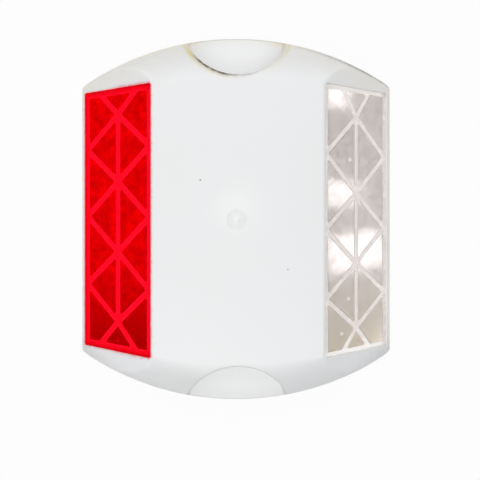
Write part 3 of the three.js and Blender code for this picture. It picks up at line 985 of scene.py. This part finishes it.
prism_looks = {
    -1: prism_foil("red lens prisms", "#ffffff", "#e4e0e0", "#c4bebe", BUBBLES[-1]),
    1: prism_foil("clear lens prisms", "#d3cdca", "#c6bfbb", "#cdc5b6", BUBBLES[1]),
}
for side, name, slot in ((-1, "red_lens_prisms", "red_acrylic"), (1, "clear_lens_prisms", "clear_acrylic")):
    fields = prism_fields(name, side, prism_looks[side])
    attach(fields, "root")


# Lens plates. Each is the front of the same acrylic moulding as its prisms, a flat plate 1.3 mm thick. It is
# let in flush with the sloping face and welded at its frame and ribs, whose white shows through it.
PLATE_EDGES = {-1: 0.12, 1: 0.06}
PLATE_BACK_EDGE = 0.05
PLATE_BORDER = 0.35
PLATE_LEAST_CORNER = 0.05
PLATE_EDGE_LINES = 5
PLATE_SHARP = 60
WIPE_SCALE = 1 / (11.1 * MM)
LUMP_SCALE = 1 / (2.0 * MM)


def lens_plate(name, side):
    skin = Skin()
    edge = PLATE_EDGES[side]
    turns = np.linspace(0, math.pi / 2, PLATE_EDGE_LINES)
    levels = [(edge + PLATE_BORDER, 0.0)]
    levels += [(edge * (1 - math.sin(turn)), -edge * (1 - math.cos(turn))) for turn in turns]
    levels += [(0.0, PLATE_BACK_EDGE - LENS_THICKNESS), (PLATE_BACK_EDGE, -LENS_THICKNESS)]
    levels += [(PLATE_BACK_EDGE + PLATE_BORDER, -LENS_THICKNESS)]
    loops = []
    for inside, out in levels:
        corner = max(LENS_CORNER - inside, PLATE_LEAST_CORNER)
        half_x, half_y = LENS_HALF_SLOPE - inside, LENS_HALF_LENGTH - inside
        loops.append(on_face(side, rounded_box(half_x, half_y, corner, 2 * LENS_HALF_LENGTH), out))
    mirrored = side < 0
    skin.add(loops[0], [range(len(loops[0]))], turned=mirrored)
    # The second material, the weld, is on the side that stands straight.
    for i, (upper, lower) in enumerate(zip(loops, loops[1:])):
        skin.band(upper, lower, look=int(levels[i][0] == levels[i + 1][0]), turned=mirrored)
    skin.add(loops[-1], [range(len(loops[-1]))], turned=not mirrored)
    return skin.make(name, PLATE_SHARP)


def acrylic(name, tint, shade):
    """Polished acrylic, wiped unevenly. Rays from lamps pass straight through it, tinted, and light what it
    covers."""
    material, tree, place = new_material(name)
    rough = uneven(tree, place, WIPE_SCALE, 4.0, 0.02, 0.09)
    glass = add_node(tree, "ShaderNodeBsdfPrincipled", None, {
        "Base Color": linear(tint), "Roughness": rough, "IOR": 1.49, "Transmission Weight": 1.0,
    })
    clear = add_node(tree, "ShaderNodeBsdfTransparent", None, {"Color": linear(shade)})
    lamp_ray = add_node(tree, "ShaderNodeLightPath").outputs["Is Shadow Ray"]
    mixed = add_node(tree, "ShaderNodeMixShader", None, {
        0: lamp_ray, 1: glass.outputs[0], 2: clear.outputs[0],
    })
    add_node(tree, "ShaderNodeOutputMaterial", None, {"Surface": mixed.outputs[0]})
    return material


def weld_flash(name, colour):
    """Acrylic whitened by the weld, on the sides of a plate."""
    material, tree, place = new_material(name)
    rough = uneven(tree, place, LUMP_SCALE, 3.0, 0.4, 0.7)
    surface = add_node(tree, "ShaderNodeBsdfPrincipled", None, {
        "Base Color": linear(colour), "Roughness": rough,
    })
    add_node(tree, "ShaderNodeOutputMaterial", None, {"Surface": surface.outputs[0]})
    return material


for side, name, node, look, flash in (
    (-1, "red_lens_plate", "red_lens", ("red acrylic", "#ff1434", "#ff2a42"), ("red weld", "#e02840")),
    (1, "clear_lens_plate", "clear_lens", ("clear acrylic", "#fbf9f8", "#fbf9f8"), ("white weld", "#e4e2e2")),
):
    plate = lens_plate(name, side)
    plate.data.materials.append(acrylic(*look))
    plate.data.materials.append(weld_flash(*flash))
    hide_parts(node)
    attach(plate, "root")


# Filling. Sand-filled resin, cast into the upturned shell to just below its rim, with coarse grit scattered
# on it while wet, so that the adhesive on the road keys to it.
FILL_GAP = 0.05
FILL_LEVEL = 0.4
FILL_RIM_DROP = 0.25
FILL_RIM_REACH = 0.35
FILL_RIM_END = 2.0
FILL_TOP_GAP = 0.1
FILL_LEAST = 0.02
FILL_SHARP = 75
GRIT_STEP = 0.7
GRIT_MARGIN = 0.5
GRIT_HEIGHT = 0.09
GRIT_SEED = 7
GRIT_RIMS = (0.3, 0.35)
TOP_STEP = 3.0
TOP_MARGIN = 1.2
# Grains of sand are finer, and are drawn as coarse as they need to show.
SAND_SCALE = 1 / (0.714 * MM)
RESIN_CLOUD_SCALE = 1 / (16.7 * MM)


def filling_underside(x, y):
    """Height of the resin's face, which is drawn down along the wall of the shell."""
    rim = np.minimum(HOLLOW_HALF_LENGTH - np.abs(x), from_end(x, y) - SHELL_WALL) - FILL_GAP
    return FILL_LEVEL - FILL_RIM_DROP * np.exp(-np.clip(rim, 0, FILL_RIM_END) / FILL_RIM_REACH)


def filling_top(x, y):
    return np.maximum(hollow_height(x, y) - FILL_TOP_GAP, filling_underside(x, y) + FILL_LEAST)


def filling_body():
    skin = Skin()
    loop = hollow_loop(FILL_GAP)
    grit = in_hollow(staggered(GRIT_STEP), GRIT_MARGIN)
    plane, faces = flat_mesh(loop, [], loops=[hollow_loop(GRIT_RIMS[1])], points=grit)
    draw = random.Random(GRIT_SEED)
    rough = np.array([draw.uniform(-GRIT_HEIGHT, GRIT_HEIGHT) for _ in plane])
    underside = lifted(plane, filling_underside)
    underside[:, 2] += np.where(within(*plane.T, hollow_loop(GRIT_RIMS[0])), rough, 0)
    skin.add(underside, faces, turned=True)
    skin.band(lifted(loop, filling_top), lifted(loop, filling_underside))
    plane, faces = flat_mesh(loop, [], points=in_hollow(staggered(TOP_STEP), TOP_MARGIN))
    skin.add(lifted(plane, filling_top), faces)
    return skin.make("cast_filling", FILL_SHARP)


def cast_resin():
    """Casting resin full of sand: a dull grey, clouded, with each grain a little lighter or darker."""
    material, tree, place = new_material("sand-filled casting resin")
    grit = add_node(tree, "ShaderNodeTexVoronoi", None, {"Vector": place, "Scale": SAND_SCALE})
    clouds = uneven(tree, place, RESIN_CLOUD_SCALE, 4.0, 0.0, 1.0)
    tone = add_node(tree, "ShaderNodeMix", {"data_type": "RGBA"}, {
        0: clouds, 6: linear("#7d7a74"), 7: linear("#9a968e"),
    })
    speck = add_node(tree, "ShaderNodeMix", {"data_type": "RGBA", "blend_type": "MULTIPLY"}, {
        0: 0.35, 6: tone.outputs[2], 7: grit.outputs["Color"],
    })
    surface = add_node(tree, "ShaderNodeBsdfPrincipled", None, {
        "Base Color": speck.outputs[2], "Roughness": 0.85, "IOR": 1.55,
    })
    add_node(tree, "ShaderNodeOutputMaterial", None, {"Surface": surface.outputs[0]})
    return material


filling = filling_body()
filling.data.materials.append(cast_resin())
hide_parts("filling")
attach(filling, "root")


# Studio. A white floor that fades to the white of the picture but keeps the stud's shadow, soft lamps, and
# the camera straight above. Sizes are in metres here, and points on the stud in millimetres.
FLOOR_HALF = 0.6
FLOOR_Z = -5e-5
FLOOR_GLOW = 0.94


def floor_white():
    material, tree, _ = new_material("white floor")
    paint = add_node(tree, "ShaderNodeBsdfDiffuse", None, {"Color": linear("#e0e0e0")})
    glow = add_node(tree, "ShaderNodeEmission", None, {"Color": (1, 1, 1, 1), "Strength": 1.0})
    path = add_node(tree, "ShaderNodeLightPath")
    seen = add_node(tree, "ShaderNodeMath", {"operation": "MAXIMUM"}, {
        0: path.outputs["Is Camera Ray"], 1: path.outputs["Is Glossy Ray"],
    })
    seen = add_node(tree, "ShaderNodeMath", {"operation": "MAXIMUM"}, {
        0: seen.outputs[0], 1: path.outputs["Is Transmission Ray"],
    })
    share = add_node(tree, "ShaderNodeMath", {"operation": "MULTIPLY"}, {0: seen.outputs[0], 1: FLOOR_GLOW})
    mixed = add_node(tree, "ShaderNodeMixShader", None, {
        0: share.outputs[0], 1: paint.outputs[0], 2: glow.outputs[0],
    })
    add_node(tree, "ShaderNodeOutputMaterial", None, {"Surface": mixed.outputs[0]})
    return material


floor_mesh = bpy.data.meshes.new("floor")
corners = [(x * FLOOR_HALF, y * FLOOR_HALF, FLOOR_Z) for x, y in ((-1, -1), (1, -1), (1, 1), (-1, 1))]
floor_mesh.from_pydata(corners, [], [(0, 1, 2, 3)])
floor = bpy.data.objects.new("floor", floor_mesh)
floor_mesh.materials.append(floor_white())
floor_mesh.materials[0].cycles.emission_sampling = "NONE"
bpy.context.scene.collection.objects.link(floor)

world = bpy.data.worlds.new("white backdrop")
bpy.context.scene.world = world
world.use_nodes = True
tree = world.node_tree
tree.nodes.clear()
seen = add_node(tree, "ShaderNodeLightPath").outputs["Is Camera Ray"]
white = add_node(tree, "ShaderNodeBackground", None, {"Color": (1, 1, 1, 1), "Strength": seen})
add_node(tree, "ShaderNodeOutputWorld", None, {"Surface": white.outputs[0]})


def soft_lamp(name, bearing, rise, size, power, aim=(0.0, 0.0, 0.0), tint=(1.0, 1.0, 1.0), away=0.8):
    """A rectangular lamp at a bearing from +X and a rise above the floor, in degrees, aimed at a point."""
    bearing, rise = math.radians(bearing), math.radians(rise)
    out = Vector((math.cos(bearing) * math.cos(rise), math.sin(bearing) * math.cos(rise), math.sin(rise)))
    lamp = bpy.data.lights.new(name, "AREA")
    lamp.shape, lamp.energy = "RECTANGLE", power
    lamp.size, lamp.size_y = size
    lamp.color = tint
    holder = bpy.data.objects.new(name, lamp)
    holder.location = Vector(aim) * MM + out * away
    holder.rotation_euler = (-out).to_track_quat("-Z", "Y").to_euler()
    holder.visible_camera = False
    bpy.context.scene.collection.objects.link(holder)


soft_lamp("top box", 0, 90, (1.0, 1.0), 3.46)
for name, bearing, rise, power in (
    ("south box", 262, 58, 2.0), ("north box", 90, 55, 1.05), ("north-east box", 45, 25, 1.5),
    ("north-west box", 135, 25, 1.52), ("south-west box", 225, 25, 0.9),
):
    soft_lamp(name, bearing, rise, (0.5, 0.5), power)
# A long low card that the polished front of the clear plate mirrors as a faint veil.
soft_lamp("east card", 0, 6.5, (0.6, 0.13), 0.25)

# Small bright panes that the prism facets under the clear plate mirror as white patches.
DAYLIGHT = (0.9, 0.92, 1.0)
soft_lamp("pane over the middle", -169.2, 64.2, (0.06, 0.09), 0.038, (31.5, -8.3, 8.5), DAYLIGHT)
soft_lamp("pane over the inner half", 177.5, 63.2, (0.04, 0.052), 0.016, (27.0, 7.0, 11.5), DAYLIGHT)
soft_lamp("pane over the +Y end", 157.5, 61.0, (0.034, 0.034), 0.013, (25.7, 32.0, 12.5), DAYLIGHT)

CAMERA_PLACE = (-5.843, 4.031, 156.809)
camera_data = bpy.data.cameras.new("camera")
camera_data.sensor_width, camera_data.lens = 36.0, 41.93
camera_data.shift_x, camera_data.shift_y = 0.0524, -0.0742
camera_data.clip_start, camera_data.clip_end = 0.01, 10.0
camera = bpy.data.objects.new("camera", camera_data)
camera.location = [c * MM for c in CAMERA_PLACE]
bpy.context.scene.collection.objects.link(camera)
bpy.context.scene.camera = camera
bpy.context.scene.view_settings.view_transform = "Standard"
